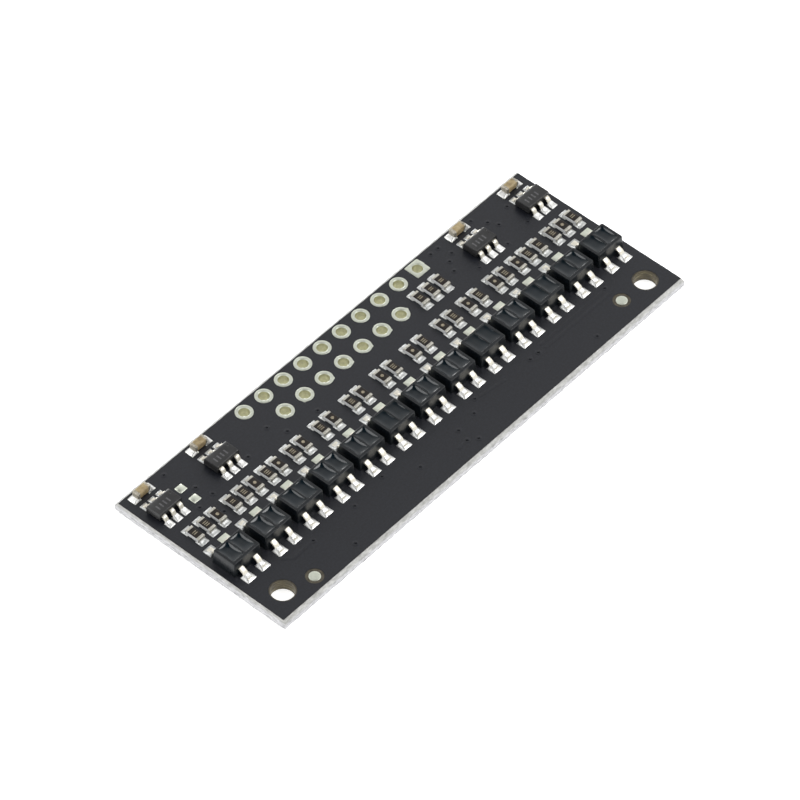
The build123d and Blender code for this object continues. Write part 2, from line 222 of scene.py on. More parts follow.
def make_piece(name, shell, materials, slot, *nodes, sharp=60.0):
    """One object from a shell: welded, facing outwards, smooth between its sharp edges."""
    mesh = bpy.data.meshes.new(name)
    mesh.from_pydata([Vector(p) * MM for p in shell.points], [], shell.faces)
    for made in materials:
        mesh.materials.append(made)
    mesh.polygons.foreach_set("material_index", shell.slots)
    work = bmesh.new()
    work.from_mesh(mesh)
    bmesh.ops.remove_doubles(work, verts=work.verts, dist=WELD)
    loose = [v for v in work.verts if not v.link_faces]
    bmesh.ops.delete(work, geom=loose, context="VERTS")
    bmesh.ops.recalc_face_normals(work, faces=work.faces)
    work.to_mesh(mesh)
    work.free()
    mesh.polygons.foreach_set("use_smooth", [True] * len(mesh.polygons))
    mesh.set_sharp_from_angle(angle=math.radians(sharp))
    piece = bpy.data.objects.new(name, mesh)
    scene.collection.objects.link(piece)
    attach(piece, "root")
    if nodes:
        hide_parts(*nodes)
    return piece


def standing(cx, cy, turn=0.0):
    """Places a local point on the board's face, turned about the vertical."""
    c, s = math.cos(math.radians(turn)), math.sin(math.radians(turn))

    def place(x, y, z):
        return (cx + c * x - s * y, cy + s * x + c * y, TOP + z)

    return place


def raised(place, outline, z):
    """An outline placed at one height over the board's face."""
    return [place(x, y, z) for x, y in outline]


def plan(ring):
    """A ring seen from above."""
    return [(x, y) for x, y, _ in ring]


def lump(x, y, seed, scale):
    """Smooth noise from -1 to 1 on the board's plane."""
    return noise.noise(Vector((x * scale, y * scale, seed * 7.13)))


def clamp(value):
    """Keeps a value between 0 and 1."""
    return max(0.0, min(1.0, value))


def ease(value):
    """Smooth step from 0 to 1."""
    t = clamp(value)
    return t * t * (3 - 2 * t)


# ---- materials ----

def linear(r, g, b):
    """Screen colour, 0 to 255, as linear light."""
    return tuple(((c / 255 + 0.055) / 1.055) ** 2.4 if c > 10 else c / 255 / 12.92 for c in (r, g, b))


def fill_ramp(ramp, stops):
    """Puts the (position, colour) stops, which are in order, on a colour ramp."""
    elements = ramp.color_ramp.elements
    while len(elements) < len(stops):
        elements.new(0.5)
    for element, (at, colour) in zip(elements, stops):
        element.position = at
        element.color = (*colour, 1)


class Graph:
    """Short way to wire a material's nodes."""

    def __init__(self, name):
        self.material = bpy.data.materials.new(name)
        self.material.use_nodes = True
        self.tree = self.material.node_tree
        self.shader = self.tree.nodes["Principled BSDF"]
        self.place = self.node("TexCoord").outputs["Object"]

    def feed(self, socket, value):
        """Sets an input, or links it where the value is another node's output."""
        if isinstance(value, bpy.types.NodeSocket):
            self.tree.links.new(value, socket)
        else:
            socket.default_value = value

    def node(self, kind, feeds=None, **settings):
        """A new node, with its settings and what its inputs are fed."""
        made = self.tree.nodes.new("ShaderNode" + kind)
        for key, value in settings.items():
            setattr(made, key, value)
        for key, value in (feeds or {}).items():
            self.feed(made.inputs[key], value)
        return made

    def stretched(self, x, y, z):
        """Object coordinates scaled along each axis."""
        feeds = {"Vector": self.place, "Scale": (x, y, z)}
        return self.node("Mapping", feeds).outputs["Vector"]

    def along(self, axis):
        """One coordinate, in metres."""
        return self.node("SeparateXYZ", {"Vector": self.place}).outputs[axis]

    def maths(self, operation, first, second=0, third=0):
        feeds = {0: first, 1: second, 2: third}
        return self.node("Math", feeds, operation=operation).outputs["Value"]

    def noise(self, per_mm, detail=3, rough=0.55, vector=None):
        feeds = {"Scale": per_mm / MM, "Detail": detail, "Roughness": rough, "Vector": vector or self.place}
        return self.node("TexNoise", feeds).outputs["Fac"]

    def spread(self, source, low, high, start=0.3, end=0.7):
        """Runs from low to high as the source runs from start to end."""
        feeds = {"Value": source, "From Min": start, "From Max": end, "To Min": low, "To Max": high}
        return self.node("MapRange", feeds).outputs["Result"]

    def ramp(self, source, *stops):
        made = self.node("ValToRGB", {"Fac": source})
        fill_ramp(made, stops)
        return made.outputs["Color"]

    def blend(self, factor, first, second):
        """Colour that goes from the first to the second as the factor goes from 0 to 1."""
        ends = [(*end, 1) if isinstance(end, tuple) else end for end in (first, second)]
        feeds = {0: factor, 6: ends[0], 7: ends[1]}
        return self.node("Mix", feeds, data_type="RGBA").outputs[2]

    def colour(self, source):
        self.feed(self.shader.inputs["Base Color"], source)

    def mottle(self, source, dark, light):
        """Colour that runs from dark to light over the middle of a noise."""
        self.colour(self.ramp(source, (0.3, dark), (0.7, light)))

    def roughness(self, source):
        self.feed(self.shader.inputs["Roughness"], source)

    def bump(self, source, depth_mm, strength, under=None):
        """Relief on the shader, over another one where `under` is given."""
        feeds = {"Height": source, "Distance": depth_mm * MM, "Strength": strength}
        if under is not None:
            feeds["Normal"] = under
        normal = self.node("Bump", feeds).outputs["Normal"]
        self.feed(self.shader.inputs["Normal"], normal)
        return normal

    def settings(self, **values):
        for key, value in values.items():
            self.shader.inputs[key.replace("_", " ").title().replace("Ior", "IOR")].default_value = value
        return self.material


def shades(colour, *factors):
    """The same colour, darker or lighter."""
    return [tuple(clamp(c * f) for c in colour) for f in factors]


def solder_mask():
    g = Graph("solder_mask")
    base = linear(21, 23, 30)
    dark, light = shades(base, 0.5, 1.6)
    g.mottle(g.noise(5, 5, 0.7), dark, light)
    g.roughness(g.spread(g.noise(1.4, 4), 0.3, 0.42))
    orange_peel = g.bump(g.noise(3, 3), 0.006, 0.6)
    g.bump(g.noise(14, 2), 0.003, 0.7, orange_peel)
    return g.settings(ior=1.5)


def surface(name, mottle, dark, light, rough, grain=None, **settings):
    """Surface with a mottled colour.

    `mottle` is a noise's scale per mm and detail; `rough` is one value, or a noise's scale and detail
    and the low and high value; `grain` is a noise's scale and detail and the bump's depth and strength.
    """
    g = Graph(name)
    g.mottle(g.noise(*mottle), dark, light)
    if isinstance(rough, tuple):
        g.roughness(g.spread(g.noise(*rough[:2]), *rough[2:]))
    else:
        settings["roughness"] = rough
    if grain:
        g.bump(g.noise(*grain[:2]), *grain[2:])
    return g.settings(**settings)


def laminate_edge():
    """Scored and snapped glass cloth: pale, mottled along its bundles, paler on the torn web."""
    g = Graph("laminate_edge")
    bundles = g.noise(1, 4, 0.6, g.stretched(1.6, 1.6, 6))
    cloth_stops = (0.3, linear(160, 160, 156)), (0.5, linear(187, 187, 184)), (0.7, linear(212, 212, 209))
    torn_stops = (0.3, linear(142, 142, 142)), (0.45, linear(184, 184, 186)), (0.7, linear(216, 216, 218))
    pits = g.spread(g.noise(3, 3, 0.7), 1, 0, 0.24, 0.34)
    scored = g.blend(pits, g.ramp(bundles, *cloth_stops), linear(132, 128, 116))
    web = g.spread(g.along("Z"), 1, 0, WEB_HIGH * MM, (WEB_HIGH + 0.08) * MM)
    g.colour(g.blend(web, scored, g.ramp(bundles, *torn_stops)))
    rough = g.bump(bundles, 0.03, 0.5)
    g.bump(g.noise(16, 3), 0.01, 0.5, rough)
    return g.settings(roughness=0.62)


def drilled_wall():
    g = Graph("drilled_wall")
    layers = g.noise(1.2, 3, 0.6, g.stretched(1, 1, 5))
    stops = (0.3, linear(52, 44, 24)), (0.55, linear(92, 82, 50)), (0.75, linear(150, 140, 104))
    g.colour(g.ramp(layers, *stops))
    g.bump(layers, 0.02, 0.7)
    return g.settings(roughness=0.45)


def solder_metal(name, dark, light):
    """Reflowed solder: frosted, with small dark pits of flux."""
    g = Graph(name)
    metal = g.ramp(g.noise(2.6, 4), (0.3, dark), (0.7, light))
    pits = g.spread(g.noise(6.5, 1), 1, 0, 0.17, 0.23)
    g.colour(g.blend(pits, metal, (0.12, 0.1, 0.07)))
    g.roughness(g.spread(g.noise(4, 3), 0.3, 0.46))
    soft = g.bump(g.noise(3.2, 3), 0.01, 0.5)
    g.bump(g.noise(16, 3), 0.003, 0.5, soft)
    return g.settings(metallic=0.75)


def lead_metal():
    """Matt tinned lead frame: near white, a little warm, with fine drawing marks."""
    g = Graph("lead_metal")
    g.mottle(g.noise(4, 4), (0.82, 0.78, 0.66), (0.92, 0.89, 0.8))
    g.roughness(g.spread(g.noise(9, 3), 0.27, 0.38))
    g.bump(g.noise(14, 3, 0.6, g.stretched(3, 0.6, 0.6)), 0.003, 0.4)
    return g.settings(metallic=0.65)


def sensor_plastic():
    """Blue-black moulding compound; each body has a painted reflection on its front, between the leads: a
    grey patch, made matt, where the face mirrors the bright joints below.
    """
    g = Graph("sensor_plastic")
    dark, light = (0.003, 0.0048, 0.0065), (0.0065, 0.009, 0.0115)
    body = g.ramp(g.noise(3, 5), (0.3, dark), (0.7, light))
    across = g.maths("WRAP", g.along("X"), -2 * MM, 2 * MM)
    wide = g.maths("POWER", g.maths("DIVIDE", g.maths("ABSOLUTE", across), 0.62 * MM), 2)
    high = g.maths("SUBTRACT", g.along("Z"), (TOP + 1.12) * MM)
    tall = g.maths("POWER", g.maths("DIVIDE", g.maths("ABSOLUTE", high), 0.55 * MM), 2)
    ragged = g.spread(g.noise(3, 4, 0.6), -0.5, 0.5)
    reach = g.maths("ADD", g.maths("ADD", wide, tall), ragged)
    inside = g.spread(reach, 1, 0, 0.2, 1.4)
    in_front = g.spread(g.along("Y"), 1, 0, -3.32 * MM, -3.3 * MM)
    painted_reflection = g.maths("MULTIPLY", inside, in_front)
    # the grey patch blended in here is a painted reflection of the bright joints below the front face
    g.colour(g.blend(painted_reflection, body, linear(84, 83, 79)))
    g.roughness(g.maths("ADD", g.maths("MULTIPLY", painted_reflection, 0.3), g.spread(g.noise(3, 4), 0.26, 0.36)))
    g.bump(g.noise(24, 3), 0.0012, 0.7)
    return g.settings(ior=1.46)


def capacitor_ceramic():
    g = Graph("capacitor_ceramic")
    stops = (0.3, linear(122, 105, 76)), (0.5, linear(164, 145, 107)), (0.7, linear(188, 172, 136))
    g.colour(g.ramp(g.noise(1.8, 5, 0.6), *stops))
    g.bump(g.noise(18, 3), 0.003, 0.6)
    return g.settings(roughness=0.42)


def end_terminal(name, dark, light):
    """Fired and plated end cap, rough, with dark spots."""
    g = Graph(name)
    grain = g.ramp(g.noise(6, 5, 0.65), (0.3, dark), (0.62, light))
    spots = g.spread(g.noise(9, 2), 1, 0, 0.26, 0.34)
    g.colour(g.blend(spots, grain, (0.12, 0.1, 0.09)))
    g.bump(g.noise(12, 4), 0.012, 0.7)
    return g.settings(metallic=0.75, roughness=0.45)


MASK = solder_mask()
CORE = surface("laminate_face", (2.5, 3), linear(56, 50, 36), linear(88, 82, 68), 0.5, (9, 3, 0.01, 0.6))
EDGE = laminate_edge()
DRILLED = drilled_wall()
# levelled tin on copper, with faint streaks
TIN = surface("tinned_copper", (3, 4), *shades((0.7, 0.73, 0.63), 0.92, 1.08),
              (5, 3, 0.272, 0.425), (6, 3, 0.004, 0.5), metallic=1)
# a darker, olive copy of the tin for the walls inside the holes: painted shade and painted reflection
SHADED_BARREL = surface("shaded_barrel", (3, 4), *shades((0.53, 0.52, 0.34), 0.84, 1.16),
                 (5, 3, 0.36, 0.5625), (6, 3, 0.004, 0.5), metallic=0.6)
SOLDER = solder_metal("solder", (0.76, 0.76, 0.74), (0.93, 0.93, 0.91))
# a darker copy of the solder, painted shade: used on the joints behind the sensors and the chips and on the
# resistor joints
SHADED_SOLDER = solder_metal("shaded_solder", (0.48, 0.49, 0.48), (0.68, 0.69, 0.68))
LEAD = lead_metal()
HOUSING = sensor_plastic()
EPOXY = surface("dark_epoxy", (1, 3), (0.001, 0.005, 0.008), (0.002, 0.008, 0.013),
                (2, 3, 0.1, 0.18), (2.2, 2, 0.003, 0.4), ior=1.5)
# dark moulding compound with a fine matt grain
CHIP = surface("chip_plastic", (1.6, 5), *shades((0.018, 0.018, 0.0185), 0.7, 1.35),
               (3, 4, 0.272, 0.384), (24, 3, 0.003, 0.7), ior=1.5)
CERAMIC = capacitor_ceramic()
CAP_END = end_terminal("capacitor_end", linear(132, 126, 112), linear(196, 190, 176))
RESISTOR_END = end_terminal("resistor_end", linear(160, 158, 147), linear(213, 210, 200))
ALUMINA = surface("alumina", (5, 4), linear(206, 208, 208), linear(236, 237, 236), 0.45,
                  (20, 3, 0.003, 0.6))
GLAZE = surface("glaze", (2.4, 4), linear(14, 9, 5), linear(34, 24, 15),
                (4, 3, 0.26, 0.4), (9, 3, 0.003, 0.5), ior=1.42)
INK = surface("print_ink", (8, 4), linear(116, 107, 88), linear(172, 161, 138), 0.6)
LASER = surface("laser_mark", (7, 4), linear(66, 66, 68), linear(104, 104, 106), 0.7)


# ---- the board ----

def perimeter(spacing):
    """Points round a unit square, anticlockwise, spaced for the board's own size."""
    across, down = [round(2 * half / spacing) for half in BOARD_HALF]
    points = [(-1 + 2 * k / across, -1.0) for k in range(across)]
    points += [(1.0, -1 + 2 * k / down) for k in range(down)]
    return points + [(-x, -y) for x, y in points]


EDGE_SPACING = 0.2
EDGE_TEAR = 0.085
RIM_INSET = 0.012
RIM_CHIP = 0.03
SQUARE = perimeter(EDGE_SPACING)


def pulled_in(x, y, ux, uy, depth):
    """A point on the board's edge moved inwards from the sides that it is on."""
    return x - math.copysign(depth, ux) * (abs(ux) == 1), y - math.copysign(depth, uy) * (abs(uy) == 1)


def edge_ring(z):
    """One ring of the board's edge: V-scored slopes and a torn web between them."""
    out = min(1.0, (TOP - SKIN - z) / (TOP - SKIN - WEB_HIGH), (z - SKIN) / (WEB_LOW - SKIN))
    half = [f + (b - f) * out for f, b in zip(FACE_HALF, BOARD_HALF)]
    ring = []
    for ux, uy in SQUARE:
        x, y = ux * half[0], uy * half[1]
        coarse = noise.noise(Vector((x * 2.6, y * 2.6, z * 5.0)))
        fine = noise.noise(Vector((x * 7, y * 7, z * 9)))
        depth = (RIM_INSET + EDGE_TEAR * out) * clamp(0.45 + 0.55 * (coarse + 0.5 * fine))
        if 0 < out < 1:
            depth *= 0.45
        ring.append(pulled_in(x, y, ux, uy, depth))
    return ring


def board_holes():
    """Loops of every hole in the laminate, as (loop, wall slot)."""
    loops = [(circle(x, y, MOUNT_RADIUS, 56), 2) for x, y in MOUNT_HOLES]
    loops += [(circle(x, y, HEADER_HOLE + HEADER_WALL, 32), 2) for x, y in ROW_1 + ROW_2]
    loops += [(circle(x, y, VIA_RADIUS, 12), 3) for x, y in VIAS]
    return loops


def make_laminate():
    shell = Shell()
    web = [WEB_LOW, 0.43, 0.51, 0.6, 0.69, 0.77, WEB_HIGH]
    heights = [SKIN, 0.13, 0.24, *web, 0.94, 1.02, 1.1, TOP - SKIN]
    rings = [edge_ring(z) for z in heights]
    shell.tube([at_z(r, z) for r, z in zip(rings, heights)], 1)
    holes = board_holes()
    loops = [loop for loop, _ in holes]
    shell.pierced(rings[-1], loops, lambda x, y: TOP - SKIN)
    shell.pierced(rings[0], loops, lambda x, y: SKIN)
    levels = [SKIN + (TOP - 2 * SKIN) * k / 5 for k in range(6)]
    for loop, slot in holes:
        shell.tube([at_z(loop, z) for z in levels], slot)
    looks = [CORE, EDGE, DRILLED, MASK]
    make_piece("glass_epoxy_board", shell, looks, "laminate", "board_laminate", sharp=40.0)


def pairs(centres, dx, dy):
    """Two places for every centre, the same distance either side of it."""
    return [(x + s * dx, y + s * dy) for x, y in centres for s in (-1, 1)]


SENSOR_SIDES = [(x + side * SENSOR_LAND_AT[0], SENSOR_Y) for x in SENSOR_X for side in (-1, 1)]
CHIP_LEADS = [(x + dx, y) for x, y in CHIPS for dx in CHIP_LEAD_X]
# every set of lands: piece, nodes it replaces, places, size
LANDS = [
    ("sensor_pads", ["sensor_lands"], pairs(SENSOR_SIDES, 0, SENSOR_LAND_AT[1]), SENSOR_LAND),
    ("resistor_pads", ["resistor_lands"], pairs(RESISTORS, 0, RESISTOR_LAND_Y), RESISTOR_LAND),
    ("chip_pads", ["chip_lands"], pairs(CHIP_LEADS, 0, CHIP_LAND_Y), CHIP_LAND),
    ("capacitor_pads", [], pairs(CAPACITORS, CAPACITOR_LAND_X, 0), CAPACITOR_LAND),
    ("spare_pads", ["spare_lands"], SPARE_LANDS, SPARE_LAND),
]


def land_outlines(places, size, grow):
    """Outline of each land in a set, grown all round."""
    outline = rounded(size[0] + 2 * grow, size[1] + 2 * grow, 0.06 + grow, 3)
    return [moved(outline, x, y) for x, y in places]


MASK_CLEARANCE = 0.025


def via_distance(x, y):
    """How far a point is from the nearest via."""
    return min(math.hypot(x - vx, y - vy) for vx, vy in VIAS)


def track_distance(x, y):
    """How far a point is from the middle of the nearest track."""
    best = 9.0
    for track in TRACKS:
        for (ax, ay), (bx, by) in zip(track, track[1:]):
            dx, dy = bx - ax, by - ay
            t = clamp(((x - ax) * dx + (y - ay) * dy) / (dx * dx + dy * dy))
            best = min(best, math.hypot(x - ax - t * dx, y - ay - t * dy))
    return best


def mask_relief(x, y):
    """Height of the mask over copper: it swells over pads and tracks and dips into each via's hole."""
    d = via_distance(x, y)
    over_pad = VIA_SWELL * ease((VIA_PAD + 0.04 - d) / 0.08)
    over_track = TRACK_SWELL * ease((TRACK_HALF + 0.07 - track_distance(x, y)) / 0.1)
    return max(over_pad, over_track) - VIA_DIP * ease((VIA_RADIUS - d) / 0.05)


def beside(track, offset):
    """The track's line moved sideways."""
    points = []
    for k, (x, y) in enumerate(track):
        along = heading(track, k)
        points.append((x - along.y * offset, y + along.x * offset))
    return points


def plug(x, y):
    """How deep the mask's inner face hangs into a via's hole."""
    return VIA_PLUG if via_distance(x, y) < VIA_RADIUS - 0.01 else 0.0


# radii of the rings that carry the mask's relief round a via and a track's end
VIA_RINGS = (0.04, 0.08, 0.11, 0.13, 0.24, 0.29, 0.33, 0.38)
TRACK_RINGS = (0.1, 0.15, 0.2, 0.24)


def relief_lines(tracks):
    """Closed rings and lines for the mask's triangulation to follow."""
    ends = [end for track in tracks for end in (track[0], track[-1])]
    rings = [circle(x, y, r, 16) for x, y in VIAS for r in VIA_RINGS]
    rings += [circle(x, y, r, 16) for x, y in ends for r in TRACK_RINGS]
    offsets = [-r for r in TRACK_RINGS[::-1]] + list(TRACK_RINGS)
    lines = [ring + ring[:1] for ring in rings]
    return lines + [beside(track, side) for track in tracks for side in offsets]


def make_mask(name, node, inner, outer, openings, rough_seed):
    """One skin of solder mask between the heights `inner` and `outer`."""
    way = 1 if outer > inner else -1

    def skin(x, y):
        relief = mask_relief(x, y)
        return outer + way * (relief if way > 0 else min(relief, 0.0))

    def back(x, y):
        return inner - way * plug(x, y)

    shell = Shell()
    rim = []
    for ux, uy in SQUARE:
        x, y = ux * FACE_HALF[0], uy * FACE_HALF[1]
        chip = RIM_CHIP * clamp(noise.noise(Vector((x * 1.7, y * 1.7, rough_seed))) + 0.2)
        rim.append(pulled_in(x, y, ux, uy, RIM_INSET + chip))
    square = SQUARE_PAD + 2 * MASK_CLEARANCE
    holes = [circle(x, y, MOUNT_RADIUS + MOUNT_MARGIN, 56) for x, y in MOUNT_HOLES]
    holes.append(moved(rounded(square, square, 0.1, 4), *ROW_1[0]))
    holes += [circle(x, y, HEADER_PAD + MASK_CLEARANCE, 40) for x, y in ROW_1[1:] + ROW_2]
    holes += openings
    lines = relief_lines(TRACKS if way > 0 else [])
    shell.pierced(rim, holes, skin, lines)
    shell.pierced(rim, holes, back, lines)
    for loop in [rim, *holes]:
        shell.tube([at_z(loop, inner), at_z(loop, outer)])
    make_piece(name, shell, [MASK], "solder_mask", node, sharp=25.0)


def make_lands():
    """Tinned copper lands with softened rims."""
    bottom, edge, crown = TOP - 0.045, TOP - 0.015, TOP
    for name, nodes, places, size in LANDS:
        shell = Shell()
        for wide, narrow in zip(land_outlines(places, size, 0.0), land_outlines(places, size, -0.02)):
            shell.loft([at_z(wide, bottom), at_z(wide, edge), at_z(narrow, crown)])
        make_piece(name, shell, [TIN], "tinned_copper", *nodes, sharp=40.0)


HEADER_POINTS = 48
# the way the small spike of copper points on each ring of the second row, in degrees
SPIKES = [0.0, -48.0, -48.0, -48.0, -48.0, -138.0, -138.0]
SPIKE_LENGTH = 0.11
SPIKE_SPREAD = 9
# each ring's section, rim to hole: radius, height over the face, share of the pad's outline
HEADER_SECTION = [
    (0.84, -0.03, 1.0), (0.837, 0.0, 1.0), (0.82, 0.01, 0.95), (0.75, 0.014, 0.75), (0.66, 0.014, 0.5),
    (0.58, 0.012, 0.25), (0.54, 0.003, 0.1), (0.515, -0.03, 0.0), (0.5, -0.08, 0.0),
]


def square_ring(x, y, radius, share):
    """Outline between the hole and the square pad, which bulges a little towards +X."""
    half = SQUARE_PAD / 2 - (HEADER_PAD - radius)
    points = []
    for k in range(HEADER_POINTS):
        angle = 2 * math.pi * k / HEADER_POINTS
        reach = min(half / max(abs(math.cos(angle)), abs(math.sin(angle))), half * 1.37)
        if abs(angle - 0.1) < 0.4:
            reach += 0.05 * share
        r = HEADER_HOLE + (reach - HEADER_HOLE) * share
        points.append((x + r * math.cos(angle), y + r * math.sin(angle)))
    return points


def round_ring(x, y, radius, share, aim):
    """Round outline, with a spike of copper where `aim` is an angle."""
    def bulge(angle):
        off = (math.degrees(angle) - aim + 180) % 360 - 180
        return SPIKE_LENGTH * share * math.exp(-(off / SPIKE_SPREAD) ** 2)

    return circle(x, y, radius, HEADER_POINTS, None if aim is None else bulge)


def header_rim(x, y, aim, face, way):
    """Rings from the outer edge of one face's pad to the lip of the hole."""
    rings = []
    for radius, z, share in HEADER_SECTION:
        if (x, y) == ROW_1[0]:
            outline = square_ring(x, y, radius, share)
        else:
            outline = round_ring(x, y, radius, share, aim)
        rings.append(at_z(outline, max(face + way * z, 0.0)))
    return rings


def make_header():
    """Plated barrels, each with a softly domed ring on both faces; the first ring is square."""
    shell = Shell()
    for (x, y), aim in zip(ROW_1 + ROW_2, [None] * len(ROW_1) + SPIKES):
        top = header_rim(x, y, aim, TOP, 1)
        under = header_rim(x, y, aim, 0.0, -1)
        inside = circle(x, y, HEADER_HOLE, HEADER_POINTS)
        outside = circle(x, y, HEADER_HOLE + HEADER_WALL, HEADER_POINTS)
        wall = [at_z(inside, TOP * share) for share in (0.8, 0.6, 0.4, 0.2)]
        back = [at_z(outside, z) for z in (0.06, TOP - 0.06)]
        shell.tube(top)
        # the wall inside the hole takes the darker, olive tin: painted shade and painted reflection
        shell.tube([top[-1], *wall, under[-1]], 1)
        shell.tube(under[::-1])
        shell.tube([under[0], *back, top[0]])
    make_piece("header_rings", shell, [TIN, SHADED_BARREL], "tinned_copper", "barrel_plating")


def make_fiducials():
    shell = Shell()
    rim = [(FIDUCIAL_RADIUS, 0.045), (FIDUCIAL_RADIUS, 0.025)]
    crown = [(0.525, 0.015), (0.4, 0.011), (0.2, 0.01)]
    for x, y in FIDUCIALS:
        shell.loft([at_z(circle(x, y, r, 40), TOP - depth) for r, depth in rim + crown])
    make_piece("fiducial_dots", shell, [TIN], "tinned_copper", "fiducial_marks")


# ---- leads and solder ----

LEAD_THICKNESS = 0.15


def bent(corners, radius, steps=4):
    """Path through the corners with every inner corner rounded off."""
    path = [corners[0]]
    for before, here, after in zip(corners, corners[1:], corners[2:]):
        a = Vector(before) - Vector(here)
        b = Vector(after) - Vector(here)
        reach = min(radius, a.length * 0.49, b.length * 0.49)
        start = Vector(here) + a.normalized() * reach
        end = Vector(here) + b.normalized() * reach
        for k in range(steps + 1):
            t = k / steps
            point = start * (1 - t) ** 2 + Vector(here) * (2 * t * (1 - t)) + end * t * t
            path.append(tuple(point))
    return path + [corners[-1]]


def ribbon(shell, path, width, thickness, place, corner=0.035, shift=0.0):
    """Strip with rounded edges, swept along a path of (y, z) points."""
    section = rounded(width, thickness, corner, 2)
    rings = []
    for k, (y, z) in enumerate(path):
        along = heading(path, k)
        rings.append([place(shift + a, y - b * along.y, z + b * along.x) for a, b in section])
    shell.loft(rings)


def mound(shell, place, land, over, height, corner=0.14, slot=0, steps=16, base=-0.03, power=8):
    """Solder on a land, reaching over its rim: height(x, y) above the board, falling to its edge."""
    width, depth = land[0] + over, land[1] + over
    grid = []
    for j in range(steps + 1):
        v = 2 * j / steps - 1
        for i in range(steps + 1):
            u = 2 * i / steps - 1
            x = width / 2 * u * math.sqrt(1 - corner * v * v)
            y = depth / 2 * v * math.sqrt(1 - corner * u * u)
            fall = (1 - abs(u) ** power) * (1 - abs(v) ** power)
            grid.append(place(x, y, 0.004 + height(x, y) * fall))
    row = steps + 1
    shell.put(grid, grid_faces(row, row), slot)
    last = row * row
    border = [*range(row), *range(2 * row - 1, last, row)]
    border += [*range(last - 2, last - row - 1, -1), *range(last - 2 * row, 0, -row)]
    rim = [grid[k] for k in border]
    shell.loft([at_z(plan(rim), TOP + base), rim], slot, top=False)


def wetted_foot(land, peak, thin, seed, lumps=0.02, half=0.2, sag=1.4):
    """Height of solder over a foot: highest where the lead comes down, falling to the tip and the sides."""
    depth = land[1]

    def height(x, y):
        run = clamp((y + 0.4 * depth) / (0.85 * depth))
        ridge = 1 - 0.65 * ease((abs(x) - half) / 0.25)
        inner = ease((y + 0.5 * depth) / (0.1 * depth))
        return thin + peak * inner * (1 - run) ** sag * ridge + lumps * lump(x, y, seed, 3.1)

    return height


# ---- sensors ----

SENSOR_HEIGHT = 1.5
SENSOR_BASE = (3.4, 2.7)
SENSOR_CROWN = (3.26, 2.42)
SENSOR_CORNER = 0.13
WINDOW = (1.28, 1.9)
WINDOW_X = 0.72
WINDOW_SHIFT = 0.06
WINDOW_CORNER = 0.12
WINDOW_FLOOR = 0.55
SENSOR_LEAD_X = 0.9
SENSOR_LEAD_WIDTH = 0.54
SENSOR_KNEE = [(0.9, 0.62), (1.27, 0.62), (1.68, 0.42)]
SENSOR_LEAD_PATH = bent([*SENSOR_KNEE, (1.95, 0.1), (2.1, 0.078), (2.42, 0.075)], 0.1)
REAR_RIGHT_PATH = bent([*SENSOR_KNEE, (1.94, 0.075), (2.06, 0.075)], 0.1)

# how full each window's epoxy climbs its wall, emitter then detector, along the row
CLIMB = [
    (0.8, 0.8), (1.0, 1.0), (0.55, 0.5), (0.95, 1.0), (0.9, 0.9), (0.25, 0.3), (1.0, 1.0),
    (1.0, 0.95), (0.25, 0.3), (0.8, 0.9), (0.3, 0.7), (0.5, 0.95), (0.5, 0.95),
]


def sized(t):
    """Width and depth of the housing at the share t of its height."""
    return [b + (c - b) * t for b, c in zip(SENSOR_BASE, SENSOR_CROWN)]


def window_ring(place, side, grow, z):
    """Outline of one window at one height, grown by the rounding of its lip."""
    outline = rounded(WINDOW[0] + 2 * grow, WINDOW[1] + 2 * grow, WINDOW_CORNER + grow, 4, 3)
    return raised(place, moved(outline, side * WINDOW_X, WINDOW_SHIFT), z)


def make_housing(number, x):
    """Moulded body: drafted walls, softened edges and two deep windows."""
    shell = Shell()
    place = standing(x, SENSOR_Y)
    rings = []
    rounding = 0.055
    for t in (0.0, 0.3, 0.6, 1 - rounding / SENSOR_HEIGHT):
        outline = rounded(*sized(t), SENSOR_CORNER, 5)
        rings.append(raised(place, outline, t * SENSOR_HEIGHT))
    w, d = sized(1.0)
    for k in (1, 2, 3):
        angle = math.pi / 6 * k
        inset = rounding * (1 - math.cos(angle))
        z = SENSOR_HEIGHT - rounding + rounding * math.sin(angle)
        outline = rounded(w - 2 * inset, d - 2 * inset, SENSOR_CORNER - inset * 0.5, 5)
        rings.append(raised(place, outline, z))
    shell.loft(rings, 0, top=False)
    lip = 0.035
    mouths = []
    for side in (-1, 1):
        wall = []
        for k in range(4):
            angle = math.pi / 6 * k
            grow = lip * (1 - math.sin(angle))
            wall.append(window_ring(place, side, grow, SENSOR_HEIGHT - lip * (1 - math.cos(angle))))
        wall.append(window_ring(place, side, 0.0, WINDOW_FLOOR))
        shell.loft(wall, 0, bottom=False)
        mouths.append(plan(wall[0]))
    shell.pierced(plan(rings[-1]), mouths, lambda px, py: TOP + SENSOR_HEIGHT)
    node = f"sensor_housing_{number:02d}"
    make_piece(f"housing_{number:02d}", shell, [HOUSING], "sensor_plastic", node, sharp=50.0)


DISH_STEPS = (0.0, 0.02, 0.045, 0.075, 0.11, 0.15, 0.2, 0.26, 0.33, 0.41, 0.5, 0.6)
BRIM = 1.455


